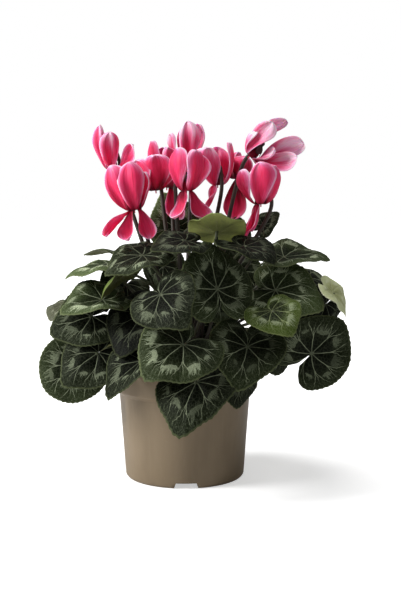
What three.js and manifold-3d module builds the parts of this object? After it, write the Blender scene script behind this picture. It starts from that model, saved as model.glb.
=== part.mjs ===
// A florist's cyclamen in a plain plastic grower pot.
// Millimetres, +Z up. The origin is the middle of the pot's foot, and -Y is the front.

import * as THREE from "three";
import { mergeVertices } from "three/addons/utils/BufferGeometryUtils.js";
import Module from "manifold-3d";

const wasm = await Module();
wasm.setup();

// Pot: a tapered body under a tall straight rim
const rimRadius = 60;
const potHeight = 91.5;
const rimBottom = 74.5;
const chamferHeight = 4.5;
const bodyTopRadius = 53.7;
const baseRadius = 48.8;
const potWall = 1.4;
const floorRise = 4.5;
const notchWidth = 20;
const notchHeight = 4.5;
const notchCount = 3;
const notchTurn = -88;
const potSides = 28;

// Compost and tuber
const soilTop = 80;
const soilEdgeTop = soilTop - 1.6;
const clearance = 0.3;
const tuberRadius = 28.5;
const tuberBottom = 60;
const crownRadius = 25;
const crownHeight = 86;
const crownDish = 2.8;

// Leaves
const petioleRadius = 1.35;
const bladeThickness = 0.8;
const bladeSpokes = 14;
const bladeRings = [0, 0.55, 1];
const notchHalfAngle = 5;
const toothDepth = 0.015;
const ripples = 5;
const stalkSeat = 2.4;
const petioleRise = 0.42;
const petioleReach = 0.3;
const arriveUp = 0.65;
const arriveAlong = 0.6;
const rimRoom = 9;
const foliageCentre = new THREE.Vector3(0, 0, 70);

// Blooms
const stalkRadius = 1.7;
const mouthRadius = 4.8;
const tubeHeight = 9;
const hookSide = 8.6;
const hookRise = 15.5;
const calyxRadius = 3.4;
const calyxHeight = 4.4;
const petalThickness = 0.7;
const petalCup = 0.12;
const petalRows = [0, 0.25, 0.55, 0.84, 1];
const hangingRows = [0, 0.35, 0.75, 1];

// Rings of feet on the crown, from the middle out: flower stalks first, then high to low leaves
const stalkRings = [{ radius: 3.6, count: 3 }, { radius: 8.4, count: 7 }];
const leafRings = [{ radius: 13, count: 11 }, { radius: 17.2, count: 13 }, { radius: 21.4, count: 13 }];

const up = new THREE.Vector3(0, 0, 1);
const vec = (p) => new THREE.Vector3(...p);
const radians = THREE.MathUtils.degToRad;
const smooth = THREE.MathUtils.smoothstep;

// Turns a closed geometry into a solid that can be joined and cut
function solid(geometry) {
  const bare = geometry.clone();
  bare.deleteAttribute("normal");
  bare.deleteAttribute("uv");
  const merged = mergeVertices(bare, 1e-4);
  const index = Array.from(merged.index.array);
  const kept = [];
  for (let i = 0; i < index.length; i += 3) {
    const [a, b, c] = index.slice(i, i + 3);
    if (a !== b && b !== c && c !== a) kept.push(a, b, c);
  }
  return new wasm.Manifold(new wasm.Mesh({
    numProp: 3,
    vertProperties: new Float32Array(merged.attributes.position.array),
    triVerts: new Uint32Array(kept),
  }));
}

function toGeometry(body) {
  const mesh = body.getMesh();
  const geometry = new THREE.BufferGeometry();
  geometry.setAttribute("position", new THREE.BufferAttribute(new Float32Array(mesh.vertProperties), 3));
  geometry.setIndex(new THREE.BufferAttribute(new Uint32Array(mesh.triVerts), 1));
  geometry.computeVertexNormals();
  return geometry;
}

// A lathe about the Z axis: three.js turns profiles about Y, so the result is stood up
function turned(profile, sides) {
  const points = profile.map(([r, z]) => new THREE.Vector2(r, z));
  return new THREE.LatheGeometry(points, sides).rotateX(Math.PI / 2);
}

// A thin closed sheet over a grid: place(row, column, face) gives its points, face being +1 or -1,
// and both faces are split into triangles alike
function sheet(rows, columns, place) {
  const points = [];
  const faces = [];
  const perFace = (rows + 1) * (columns + 1);
  for (const face of [1, -1]) {
    for (let i = 0; i <= rows; i++) {
      for (let j = 0; j <= columns; j++) points.push(...place(i, j, face).toArray());
    }
  }
  const top = (i, j) => i * (columns + 1) + j;
  const low = (i, j) => perFace + top(i, j);
  for (let i = 0; i < rows; i++) {
    for (let j = 0; j < columns; j++) {
      faces.push(top(i, j), top(i + 1, j), top(i + 1, j + 1), top(i, j), top(i + 1, j + 1), top(i, j + 1));
      faces.push(low(i, j), low(i + 1, j + 1), low(i + 1, j), low(i, j), low(i, j + 1), low(i + 1, j + 1));
    }
  }
  const wall = (a, b) => {
    const [ta, tb, la, lb] = [top(...a), top(...b), low(...a), low(...b)];
    faces.push(ta, tb, lb, ta, lb, la);
  };
  for (let i = 0; i < rows; i++) {
    wall([i + 1, 0], [i, 0]);
    wall([i, columns], [i + 1, columns]);
  }
  for (let j = 0; j < columns; j++) {
    wall([0, j], [0, j + 1]);
    wall([rows, j + 1], [rows, j]);
  }
  const geometry = new THREE.BufferGeometry();
  geometry.setAttribute("position", new THREE.Float32BufferAttribute(points, 3));
  geometry.setIndex(faces);
  return geometry;
}

// A stem of even thickness; its steps follow the curve's own parameter, so they crowd where its
// points do
function stem(curve, radius, sides, steps) {
  curve.getUtoTmapping = (u) => u;
  const section = new THREE.Shape();
  for (let i = 0; i < sides; i++) {
    const turn = (2 * Math.PI * i) / sides;
    section[i ? "lineTo" : "moveTo"](radius * Math.cos(turn), radius * Math.sin(turn));
  }
  return solid(new THREE.ExtrudeGeometry(section, { steps, bevelEnabled: false, extrudePath: curve }));
}

// Pot

function potProfile() {
  const bodyTop = rimBottom - chamferHeight;
  const innerBase = floorRise + potWall;
  return [
    [0, 0], [12, 0], [12.6, floorRise],
    [baseRadius - 3.4, floorRise], [baseRadius - 3, 0], [baseRadius - 1.6, 0], [baseRadius - 0.5, 0.5],
    [baseRadius, 2], [bodyTopRadius, bodyTop], [rimRadius, rimBottom], [rimRadius, potHeight - 0.6],
    [rimRadius - 0.5, potHeight], [rimRadius - potWall, potHeight],
    [rimRadius - potWall, rimBottom + 0.6], [bodyTopRadius - potWall, bodyTop + 0.6],
    [baseRadius - potWall, innerBase], [0, innerBase],
  ];
}

function makePot() {
  let body = solid(turned(potProfile(), potSides));
  const opening = new THREE.Shape();
  opening.moveTo(-notchWidth / 2, -1);
  opening.lineTo(notchWidth / 2, -1);
  opening.lineTo(notchWidth / 2 - 1, notchHeight);
  opening.lineTo(1 - notchWidth / 2, notchHeight);
  for (let i = 0; i < notchCount; i++) {
    const cutter = new THREE.ExtrudeGeometry(opening, { depth: 12, bevelEnabled: false });
    cutter.rotateX(Math.PI / 2).rotateZ(Math.PI / 2).translate(baseRadius - 8, 0, 0);
    cutter.rotateZ(radians(notchTurn + (360 / notchCount) * i));
    body = body.subtract(solid(cutter));
  }
  return toGeometry(body);
}

// Compost, hollowed for the tuber

function tuberProfile(grow) {
  return [
    [0, tuberBottom - grow], [13, tuberBottom + 1 - grow], [22, tuberBottom + 5.5 - grow],
    [tuberRadius + grow, tuberBottom + 14], [tuberRadius - 1 + grow, crownHeight - 6],
    [crownRadius + 1.5 + grow, crownHeight - 0.6 + grow], [crownRadius + grow, crownHeight + grow],
    [crownRadius - 0.4, crownHeight - crownDish], [0, crownHeight - crownDish],
  ];
}

function makeSoil() {
  const inside = potWall + clearance;
  const bodyTop = rimBottom - chamferHeight + 0.9;
  const floor = floorRise + potWall + clearance;
  const profile = [
    [0, floor], [baseRadius - inside, floor], [bodyTopRadius - inside, bodyTop],
    [rimRadius - inside, rimBottom + 0.9], [rimRadius - inside, soilEdgeTop],
    [49, soilTop - 0.4], [37, soilTop + 0.4], [24, soilTop], [0, soilTop],
  ];
  const mound = turned(profile, potSides);
  const spots = mound.attributes.position;
  for (let i = 0; i < spots.count; i++) {
    const [x, y, z] = [spots.getX(i), spots.getY(i), spots.getZ(i)];
    const spread = Math.hypot(x, y);
    if (z > soilTop - 1 && spread > 26) {
      spots.setZ(i, z + 0.7 * Math.sin(x * 0.23 + y * 0.11) + 0.6 * Math.cos(y * 0.31 - x * 0.07));
    }
  }
  return toGeometry(solid(mound).subtract(solid(turned(tuberProfile(clearance), 16))));
}

// Leaves. Each row is a leaf: the point where its stalk meets the blade, its tip, its width, its
// roll about the midrib, and its form. dome lowers the margin, fold lifts both halves about the
// midrib, wave ripples the blade, nod bends the tip down, point draws the tip out, and bow moves the
// middle of the leaf's stalk outwards and to the left.
const leafForm = {
  roll: 0, dome: 0.25, fold: 0.1, wave: 0.04, nod: 0.1, point: 0.11, bow: [0, 0], young: false,
};
const leaves = [
  { seat: [-17, -93, 162], tip: [-5, -120, 152], width: 56, roll: 14, dome: 0.3, nod: 0.06,
    bow: [-8, 28] },
  { seat: [26, -68, 163], tip: [18, -56, 200], width: 62, roll: 3, dome: 0.15, nod: 0.04,
    bow: [18, -16] },
  { seat: [72, -42, 159], tip: [105, -58, 153], width: 62, roll: 31, fold: 0.15, dome: 0.1, bow: [7, 0] },
  { seat: [67, -80, 148], tip: [79, -102, 140], width: 44, roll: 34, fold: 0.14, dome: 0.25,
    bow: [0, 8], young: true },
  { seat: [80, -18, 183], tip: [115, -12, 187], width: 59, roll: -4, fold: 0.2, dome: 0.05, bow: [2, 0] },
  { seat: [47, -53, 195], tip: [71, -72, 188], width: 48, fold: 0.15, dome: 0.05, bow: [-1, 0] },
  { seat: [26, -36, 204], tip: [25, -62, 222], width: 46, roll: 18, fold: 0.28, dome: 0.1,
    nod: -0.03, bow: [0, -7], young: true },
  { seat: [1, -62, 200], tip: [-21, -72, 200], width: 43, roll: 5, fold: 0.14 },
  { seat: [-8, 42, 202], tip: [-12, 38, 218], width: 46, roll: -144, bow: [-9, 9] },
  { seat: [-32, -56, 188], tip: [-62, -70, 180], width: 51, roll: 2, dome: 0.1, bow: [2, 5] },
  { seat: [-39, -25, 191], tip: [-66, -36, 183], width: 40, roll: -2, bow: [10, -6] },
  { seat: [-62, -12, 177], tip: [-94, -16, 175], width: 54, fold: 0.05, dome: 0.18 },
  { seat: [-58, 36, 182], tip: [-86, 46, 187], width: 44 },
  { seat: [-46, -38, 174], tip: [-64, -46, 164], width: 45, roll: 36, fold: 0.05, bow: [-20, -15],
    young: true },
  { seat: [-65, -30, 150], tip: [-97, -42, 148], width: 54, roll: -14, fold: 0.28, dome: 0.1,
    bow: [-10, 0] },
  { seat: [-74, -26, 136], tip: [-105, -34, 128], width: 55, roll: -44, fold: 0.12, dome: 0.15,
    bow: [-5, 9] },
  { seat: [-100, -6, 142], tip: [-110, -20, 135], width: 27, roll: -40, bow: [8, 0], young: true },
  { seat: [-88, -24, 95], tip: [-112, -30, 76], width: 57, roll: -68, fold: 0.1, dome: 0.2, point: 0.02 },
  { seat: [-68, -40, 109], tip: [-92, -54, 94], width: 57, roll: -40, fold: 0.05, dome: 0.28,
    bow: [-1, 1] },
  { seat: [-32, -43, 140], tip: [-58, -74, 110], width: 62, roll: -3, fold: 0.15, dome: 0.1,
    bow: [2, -9] },
  { seat: [-33, -66, 107], tip: [-64, -80, 86], width: 60, roll: 29, fold: 0.3, dome: 0.16 },
  { seat: [0, -98, 125], tip: [-24, -124, 112], width: 64, roll: 10, fold: 0.1, dome: 0.25,
    bow: [-4, 0] },
  { seat: [10, -84, 94], tip: [-5, -113, 72], width: 66, roll: 38, fold: 0.1, dome: 0.3, bow: [-1, -5] },
  { seat: [49, -72, 119], tip: [42, -102, 97], width: 60, roll: 27, fold: 0.3, dome: 0.1, bow: [-3, 2] },
  { seat: [101, -40, 108], tip: [127, -44, 134], width: 61, roll: -48, fold: 0.25, dome: 0.15,
    nod: 0.05, point: 0.06 },
  { seat: [114, -16, 144], tip: [94, -28, 130], width: 38, roll: -20, dome: 0.2, bow: [3, 9] },
  { seat: [102, 6, 164], tip: [126, 6, 152], width: 48, roll: 16, fold: 0.05, dome: 0.1, bow: [8, 7] },
  { seat: [117, -40, 157], tip: [135, -40, 140], width: 34, roll: 7, fold: 0.3, dome: 0.3, young: true },
  { seat: [70, -40, 118], tip: [80, -40, 90], width: 46, roll: 39, fold: 0.15, bow: [12, 5] },
  { seat: [42, -62, 94], tip: [45, -70, 72], width: 38 },
  { seat: [65, 18, 206], tip: [73, 16, 216], width: 24, roll: 90 },
  { seat: [-72, 38, 118], tip: [-104, 56, 94], width: 60 },
  { seat: [-48, 62, 106], tip: [-70, 92, 86], width: 58 },
  { seat: [2, 88, 118], tip: [4, 118, 92], width: 60 },
  { seat: [54, 62, 106], tip: [80, 86, 84], width: 58 },
  { seat: [88, 34, 114], tip: [120, 48, 94], width: 58 },
  { seat: [8, 64, 164], tip: [10, 99, 150], width: 58 },
].map((row) => ({ ...leafForm, ...row, seat: vec(row.seat), tip: vec(row.tip) }));

// The midrib, sideways and upper-face directions of a leaf's blade
function bladeFrame(leaf) {
  const along = leaf.tip.clone().sub(leaf.seat).normalize();
  const outward = leaf.seat.clone().sub(foliageCentre).normalize();
  const face = outward.addScaledVector(along, -outward.dot(along)).normalize();
  face.applyAxisAngle(along, radians(leaf.roll));
  return { along, face, side: face.clone().cross(along) };
}

// Margin of a heart-shaped blade about its stalk, as a share of its width, at an angle in degrees
// from the tip: half the width, with a point at the tip and a cleft at the back
function margin(leaf, angle) {
  const away = Math.abs(angle);
  const front = 0.03 * Math.max(0, Math.cos(radians(angle))) ** 2;
  const point = leaf.point * Math.exp(-((away / 18) ** 2));
  const cleft = 0.12 * smooth(away, 135, 180) + 0.16 * smooth(away, 152, 180);
  return 0.5 + front + point - cleft;
}

function bladeHeight(leaf, reach, angle) {
  const turn = radians(angle);
  const forward = Math.max(0, Math.cos(turn));
  return -leaf.dome * reach ** 2
    + leaf.fold * Math.abs(Math.sin(turn)) * reach
    + leaf.wave * reach * Math.cos(ripples * turn)
    - 4 * leaf.nod * forward ** 2 * reach ** 3;
}

function bladePoint(leaf, frame, reach, angle) {
  const turn = radians(angle);
  return leaf.seat.clone()
    .addScaledVector(frame.along, leaf.width * reach * Math.cos(turn))
    .addScaledVector(frame.side, leaf.width * reach * Math.sin(turn))
    .addScaledVector(frame.face, leaf.width * bladeHeight(leaf, reach, angle));
}

function bladeNormal(leaf, frame, reach, angle) {
  if (reach < 0.02) return frame.face.clone();
  const point = (r, a) => bladePoint(leaf, frame, r, a);
  const outer = point(reach + 0.01, angle).sub(point(reach - 0.01, angle));
  const round = point(reach, angle + 2).sub(point(reach, angle - 2));
  return outer.cross(round).normalize();
}

function makeBlade(leaf, frame) {
  const sweep = 360 - 2 * notchHalfAngle;
  return solid(sheet(bladeRings.length - 1, bladeSpokes, (row, spoke, side) => {
    const angle = sweep * (spoke / bladeSpokes - 0.5);
    const tooth = 1 + toothDepth * (spoke % 2 ? -1 : 1);
    const reach = bladeRings[row] * margin(leaf, angle) * tooth;
    const offset = bladeNormal(leaf, frame, reach, angle).multiplyScalar((side * bladeThickness) / 2);
    return bladePoint(leaf, frame, reach, angle).add(offset);
  }));
}

// A leaf stalk rises straight from its foot and comes up under the blade from the cleft's side
function petioleCurve(leaf, frame) {
  const arrive = frame.face.clone().multiplyScalar(arriveUp)
    .addScaledVector(frame.along, arriveAlong).normalize();
  const end = bladePoint(leaf, frame, stalkSeat / leaf.width, 0);
  end.addScaledVector(frame.face, -bladeThickness);
  const span = end.distanceTo(leaf.foot);
  const outward = new THREE.Vector3(leaf.seat.x, leaf.seat.y, 0).normalize();
  const across = up.clone().cross(outward);
  const rise = leaf.foot.clone().addScaledVector(up, span * petioleRise);
  const under = end.clone().addScaledVector(arrive, -span * petioleReach)
    .addScaledVector(outward, leaf.bow[0]).addScaledVector(across, leaf.bow[1]);
  under.z = Math.max(under.z, potHeight + rimRoom);
  return new THREE.CubicBezierCurve3(leaf.foot, rise, under, end);
}

function makeLeaf(leaf) {
  const frame = bladeFrame(leaf);
  const petiole = stem(petioleCurve(leaf, frame), petioleRadius, 5, 5);
  return toGeometry(makeBlade(leaf, frame).add(petiole));
}

// Blooms. Each row is a bloom: the middle of its mouth, the way its tube points up from there, and
// its petals. A petal is its tip, measured from the mouth, and its width. side is where its stalk
// passes the mouth, in degrees about +Z; without one, it passes between the petals.
const blooms = [
  { mouth: [-59, 8, 252], lean: [-0.1, 0, 1],
    petals: [[-12, -7, 35, 20], [-2, -14, 29, 23], [19, -11, 19, 19], [-8, 14, 28, 22]] },
  { mouth: [-39, -32, 221], lean: [-0.15, 0, 1],
    petals: [[-21, -9, 33, 26], [-4, -13, 37, 28], [10, -2, 30, 22], [-12, 12, 31, 20],
      [-22, -9, -20, 15], [-5, -14, -23, 14], [12, -6, -22, 13]] },
  { mouth: [-23, -4, 235], lean: [-0.1, 0, 1],
    petals: [[-15, -7, 24, 24], [0, -13, 28, 26], [12, -3, 20, 20], [-9, 9, 22, 18]] },
  { mouth: [-15, 27, 236], lean: [0, 0, 1],
    petals: [[-12, -6, 38, 22], [4, -11, 33, 22], [15, 3, 20, 18], [-6, 13, 32, 20], [8, -8, -26, 14]] },
  { mouth: [0, 38, 256], lean: [0.1, 0, 1], side: 45,
    petals: [[-13, -4, 24, 18], [4, -12, 34, 24], [17, -4, 31, 18], [0, 14, 30, 22]] },
  { mouth: [2, -30, 236], lean: [0, 0, 1],
    petals: [[-10, -8, 33, 22], [10, -12, 31, 27], [12, 9, 28, 20], [-7, 12, 30, 20],
      [-7, -9, -21, 15], [12, -10, -22, 16]] },
  { mouth: [27, 4, 239], lean: [0, 0, 1],
    petals: [[-7, -11, 30, 27], [12, -4, 34, 18], [4, 12, 30, 22], [-12, 6, 28, 18], [-7, -8, -20, 15]] },
  { mouth: [61, -20, 225], lean: [0, 0, 1],
    petals: [[-3, -13, 33, 26], [-18, -4, 26, 22], [13, -8, 30, 18], [4, 13, 28, 20], [-6, -8, -21, 12],
      [-9, 1, -27, 11]] },
  { mouth: [43, 44, 242], lean: [0.2, 0, 1],
    petals: [[-10, -9, 17, 22], [8, -12, 18, 22], [-4, -14, -33, 22], [0, 14, 22, 20]] },
  { mouth: [53, 14, 262], lean: [0.75, 0, 0.66], side: 90,
    petals: [[3, -4, 23, 12], [15, -9, 30, 17], [27, 6, 33, 15], [43, -2, 12, 17], [39, -10, -1, 14],
      [21, -13, 3, 10], [17, -10, -13, 9]] },
].map((row) => ({ ...row, mouth: vec(row.mouth), lean: vec(row.lean).normalize() }));

// A petal's width from its root to its tip, as a share of its greatest width
function petalWidth(share) {
  const spread = 0.22 + 0.78 * smooth(share, 0, 0.55);
  return spread * Math.sqrt(1 - 0.8 * Math.max(0, (share - 0.62) / 0.38) ** 2);
}

// A petal leaves the rim of the mouth outwards, then bends to its tip
function makePetal(bloom, [dx, dy, dz, width]) {
  const tip = new THREE.Vector3(dx, dy, dz);
  const lift = tip.dot(bloom.lean);
  const outward = tip.clone().addScaledVector(bloom.lean, -lift).normalize();
  const root = outward.clone().multiplyScalar(mouthRadius - 0.9).addScaledVector(bloom.lean, 0.6);
  const span = tip.distanceTo(root);
  const dip = lift > 0 ? -0.16 : 0;
  const first = root.clone().addScaledVector(outward, span * 0.24).addScaledVector(bloom.lean, span * dip);
  const second = root.clone().lerp(tip, 0.55).addScaledVector(outward, span * 0.12);
  const curve = new THREE.CubicBezierCurve3(root, first, second, tip);
  const side = bloom.lean.clone().cross(outward);
  const rows = lift > 0 ? petalRows : hangingRows;
  return solid(sheet(rows.length - 1, 2, (row, column, face) => {
    const share = rows[row];
    const along = curve.getTangent(share);
    const normal = side.clone().cross(along).normalize();
    const across = (1 - column) * 0.5 * width * petalWidth(share);
    const cup = (column === 1 ? petalCup : 0) * width * petalWidth(share);
    return curve.getPoint(share).add(bloom.mouth)
      .addScaledVector(side, across)
      .addScaledVector(normal, cup + (face * petalThickness) / 2);
  }));
}

function standUp(geometry, bloom) {
  const turn = new THREE.Quaternion().setFromUnitVectors(up, bloom.lean);
  return geometry.applyQuaternion(turn).translate(...bloom.mouth.toArray());
}

function makeCorolla(bloom) {
  const profile = [
    [0, 3], [mouthRadius - 1.5, 0], [mouthRadius, 0], [mouthRadius, 5], [calyxRadius, tubeHeight],
    [0, tubeHeight],
  ];
  let body = solid(standUp(turned(profile, 8), bloom));
  for (const petal of bloom.petals) body = body.add(makePetal(bloom, petal));
  return toGeometry(body);
}

// The middle of the widest gap between a bloom's petals, as an angle about +Z
function openSide(bloom) {
  const turns = bloom.petals.map(([dx, dy]) => Math.atan2(dy, dx)).sort((a, b) => a - b);
  const gaps = turns.map((turn, i) => (turns[i + 1] ?? turns[0] + 2 * Math.PI) - turn);
  const widest = gaps.indexOf(Math.max(...gaps));
  return turns[widest] + gaps[widest] / 2;
}

// A flower stalk passes beside the mouth, bends over above it and ends in the calyx
function stalkCurve(bloom) {
  const turn = bloom.side === undefined ? openSide(bloom) : radians(bloom.side);
  const beside = new THREE.Vector3(Math.cos(turn), Math.sin(turn), 0);
  beside.addScaledVector(bloom.lean, -beside.dot(bloom.lean)).normalize();
  const at = (sideways, rise) => bloom.mouth.clone()
    .addScaledVector(beside, sideways).addScaledVector(bloom.lean, rise);
  const last = tubeHeight + clearance;
  const passing = at(hookSide, -4);
  const low = bloom.foot.clone().addScaledVector(up, 30);
  const middle = bloom.foot.clone().lerp(passing, 0.55).addScaledVector(up, 12);
  return new THREE.CatmullRomCurve3([bloom.foot, low, middle, passing, at(hookSide, 7),
    at(hookSide * 0.62, hookRise - 0.4), at(hookSide * 0.12, hookRise - 1.2), at(0, last + 1.2)]);
}

function makeStalk(bloom) {
  const calyx = [[0, 0], [calyxRadius, 0], [calyxRadius, 1], [0, calyxHeight]];
  const seat = turned(calyx, 5);
  seat.translate(0, 0, tubeHeight + clearance);
  return toGeometry(stem(stalkCurve(bloom), stalkRadius, 5, 10).add(solid(standUp(seat, bloom))));
}

const sum = (values) => values.reduce((total, value) => total + value, 0);

// Feet stand on rings on the crown, in the order of the directions that their stems lead to. Each
// ring is turned to suit them best, and each foot then stands halfway between its even place and the
// direction of its stem.
function setFeet(stems, rings, target) {
  let first = 0;
  for (const ring of rings) {
    const group = stems.slice(first, first + ring.count);
    const heading = (s) => Math.atan2(target(s).y, target(s).x);
    group.sort((a, b) => heading(a) - heading(b));
    const step = (2 * Math.PI) / group.length;
    const drift = group.map((s, i) => heading(s) - step * i);
    const start = Math.atan2(sum(drift.map(Math.sin)), sum(drift.map(Math.cos)));
    group.forEach((s, i) => {
      const lean = Math.atan2(Math.sin(drift[i] - start), Math.cos(drift[i] - start));
      const turn = start + step * i + 0.5 * lean;
      s.foot = new THREE.Vector3(ring.radius * Math.cos(turn), ring.radius * Math.sin(turn),
        crownHeight - crownDish + clearance);
    });
    first += ring.count;
  }
}

const steepness = (leaf) => (leaf.seat.z - crownHeight) / Math.hypot(leaf.seat.x, leaf.seat.y);
setFeet([...leaves].sort((a, b) => steepness(b) - steepness(a)), leafRings, (leaf) => leaf.seat);
const offAxis = (bloom) => Math.hypot(bloom.mouth.x, bloom.mouth.y);
setFeet([...blooms].sort((a, b) => offAxis(a) - offAxis(b)), stalkRings, (bloom) => bloom.mouth);

// The stems' feet stand in the shallow dish on top of the tuber
function makeTuber() {
  return toGeometry(solid(turned(tuberProfile(0), 16)));
}

// The whole plant

const finish = (color, roughness) => new THREE.MeshStandardMaterial({ color, roughness, metalness: 0 });
const potPlastic = finish("#8a7c68", 0.6);
const compost = finish("#3a2a1e", 0.95);
const bark = finish("#5c4632", 0.9);
const leafGreen = finish("#33452f", 0.55);
const youngGreen = finish("#6f8c4a", 0.55);
const petalPink = finish("#e0487f", 0.5);
const stalkBrown = finish("#6b2a2c", 0.55);

const cyclamen = new THREE.Group();

function addPiece(name, geometry, material) {
  const mesh = new THREE.Mesh(geometry, material);
  mesh.name = name;
  cyclamen.add(mesh);
}

const number = (i) => String(i + 1).padStart(2, "0");

addPiece("pot", makePot(), potPlastic);
addPiece("soil", makeSoil(), compost);
addPiece("tuber", makeTuber(), bark);
leaves.forEach((leaf, i) => {
  addPiece(`leaf_${number(i)}`, makeLeaf(leaf), leaf.young ? youngGreen : leafGreen);
});
blooms.forEach((bloom, i) => {
  addPiece(`bloom_${number(i)}_stalk`, makeStalk(bloom), stalkBrown);
  addPiece(`bloom_${number(i)}_corolla`, makeCorolla(bloom), petalPink);
});

export default cyclamen;
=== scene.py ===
import math
import random

import bmesh
import bpy
from mathutils import Matrix, Quaternion, Vector, noise


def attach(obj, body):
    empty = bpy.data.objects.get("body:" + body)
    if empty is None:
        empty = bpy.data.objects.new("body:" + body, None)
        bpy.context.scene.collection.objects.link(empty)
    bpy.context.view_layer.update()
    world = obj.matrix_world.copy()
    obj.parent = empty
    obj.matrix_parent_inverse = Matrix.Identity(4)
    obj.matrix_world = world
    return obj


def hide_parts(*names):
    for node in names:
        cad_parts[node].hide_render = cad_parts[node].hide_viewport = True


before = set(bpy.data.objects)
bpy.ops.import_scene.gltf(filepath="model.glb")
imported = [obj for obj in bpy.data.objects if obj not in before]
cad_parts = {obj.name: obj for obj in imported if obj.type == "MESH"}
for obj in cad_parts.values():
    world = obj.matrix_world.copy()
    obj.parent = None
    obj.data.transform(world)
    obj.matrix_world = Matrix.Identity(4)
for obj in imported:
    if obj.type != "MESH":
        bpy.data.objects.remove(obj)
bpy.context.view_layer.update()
print("frame loaded")

mm = 0.001
up = Vector((0, 0, 1))

# what a shape tells its material at each of its points
markNames = ("across", "along", "share", "seed", "pale", "band", "tone", "under")


def smooth(value, low, high):
    part = min(1, max(0, (value - low) / (high - low)))
    return part * part * (3 - 2 * part)


def cubic(points, t):
    a, b, c, d = points
    s = 1 - t
    return a * s ** 3 + b * (3 * s * s * t) + c * (3 * s * t * t) + d * t ** 3


def flowing(points, t):
    # centripetal Catmull-Rom spline through the points
    spot = min(t * (len(points) - 1), len(points) - 1.0001)
    i = int(spot)
    w = spot - i
    b, c = points[i], points[i + 1]
    a = points[i - 1] if i else 2 * b - c
    d = points[i + 2] if i + 2 < len(points) else 2 * c - b
    before, between, after = [max(1e-4, (q - p).length ** 0.5) for p, q in ((a, b), (b, c), (c, d))]
    leave = ((b - a) / before - (c - a) / (before + between) + (c - b) / between) * between
    arrive = ((c - b) / between - (d - b) / (between + after) + (d - c) / after) * between
    return (b + leave * w + (3 * (c - b) - 2 * leave - arrive) * w * w
            + (2 * (b - c) + leave + arrive) * w ** 3)


def newMesh():
    bm = bmesh.new()
    for name in markNames:
        bm.verts.layers.float.new(name)
    return bm


def mark(bm, verts, **values):
    for name, value in values.items():
        layer = bm.verts.layers.float[name]
        for vert in verts:
            vert[layer] = value


def layGrid(columns, rows, place):
    # a grid whose points are moved by place(u, v), which also gives their marks
    bm = newMesh()
    bmesh.ops.create_grid(bm, x_segments=columns, y_segments=rows, size=1)
    layers = bm.verts.layers.float
    for vert in bm.verts:
        vert.co, marks = place((vert.co.x + 1) / 2, (vert.co.y + 1) / 2)
        for name, value in marks.items():
            vert[layers[name]] = value
    bmesh.ops.remove_doubles(bm, verts=bm.verts, dist=0.004)
    bm.normal_update()
    return bm


def thicken(bm, thickness):
    # the grid stays as the upper face, and its copy below it, given back, is marked as the underside
    made = bmesh.ops.extrude_face_region(bm, geom=bm.faces[:], use_keep_orig=True)["geom"]
    lower = [e for e in made if isinstance(e, bmesh.types.BMVert)]
    for vert in lower:
        vert.co -= vert.normal * thickness
    mark(bm, lower, under=1)
    bmesh.ops.recalc_face_normals(bm, faces=bm.faces)
    return lower


def runTube(curve, radius, side, sides, steps, marks):
    # a closed round stem along curve(t), with its first corner towards side
    def place(u, v):
        here = curve(v)
        along = (curve(min(1, v + 0.004)) - curve(max(0, v - 0.004))).normalized()
        first = side.cross(along).normalized()
        turn = 2 * math.pi * u
        out = first * math.cos(turn) + along.cross(first) * math.sin(turn)
        return here + out * radius(v), {"along": v, **marks}

    bm = layGrid(sides, steps, place)
    bmesh.ops.holes_fill(bm, edges=[e for e in bm.edges if e.is_boundary])
    bmesh.ops.recalc_face_normals(bm, faces=bm.faces)
    return bm


def spinProfile(profile, spins, corner):
    # a closed round shape turned from a profile that starts and ends on the Z axis
    bm = newMesh()
    verts = [bm.verts.new((r, 0, z)) for r, z in profile]
    for a, b in zip(verts, verts[1:]):
        bm.edges.new((a, b))
    bmesh.ops.bevel(bm, geom=verts[1:-1], offset=corner, segments=3, profile=0.5, affect="VERTICES",
                    clamp_overlap=True, material=-1)
    bmesh.ops.spin(bm, geom=bm.verts[:] + bm.edges[:], axis=up, cent=(0, 0, 0), angle=2 * math.pi,
                   steps=spins, use_merge=True)
    bmesh.ops.remove_doubles(bm, verts=bm.verts, dist=0.001)
    bmesh.ops.recalc_face_normals(bm, faces=bm.faces)
    return bm


def gather(parts, twoSided):
    # one mesh of all the parts, each given with its material's number; undersides take the next one
    whole = newMesh()
    for bm, material in parts:
        under = bm.verts.layers.float["under"]
        for face in bm.faces:
            lower = all(vert[under] > 0.5 for vert in face.verts)
            face.material_index = material + (1 if lower and twoSided else 0)
        loose = bpy.data.meshes.new("loose")
        bm.to_mesh(loose)
        bm.free()
        whole.from_mesh(loose)
        bpy.data.meshes.remove(loose)
    return whole


def finishPiece(name, parts, materials, slot, *nodes, twoSided=False):
    whole = gather(parts, twoSided)
    bmesh.ops.scale(whole, vec=(mm, mm, mm), verts=whole.verts)
    for face in whole.faces:
        face.smooth = True
    mesh = bpy.data.meshes.new(name)
    whole.to_mesh(mesh)
    whole.free()
    for material in materials:
        mesh.materials.append(material)
    piece = bpy.data.objects.new(name, mesh)
    bpy.context.scene.collection.objects.link(piece)
    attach(piece, "root")
    if nodes:
        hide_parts(*nodes)


# Leaves

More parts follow.
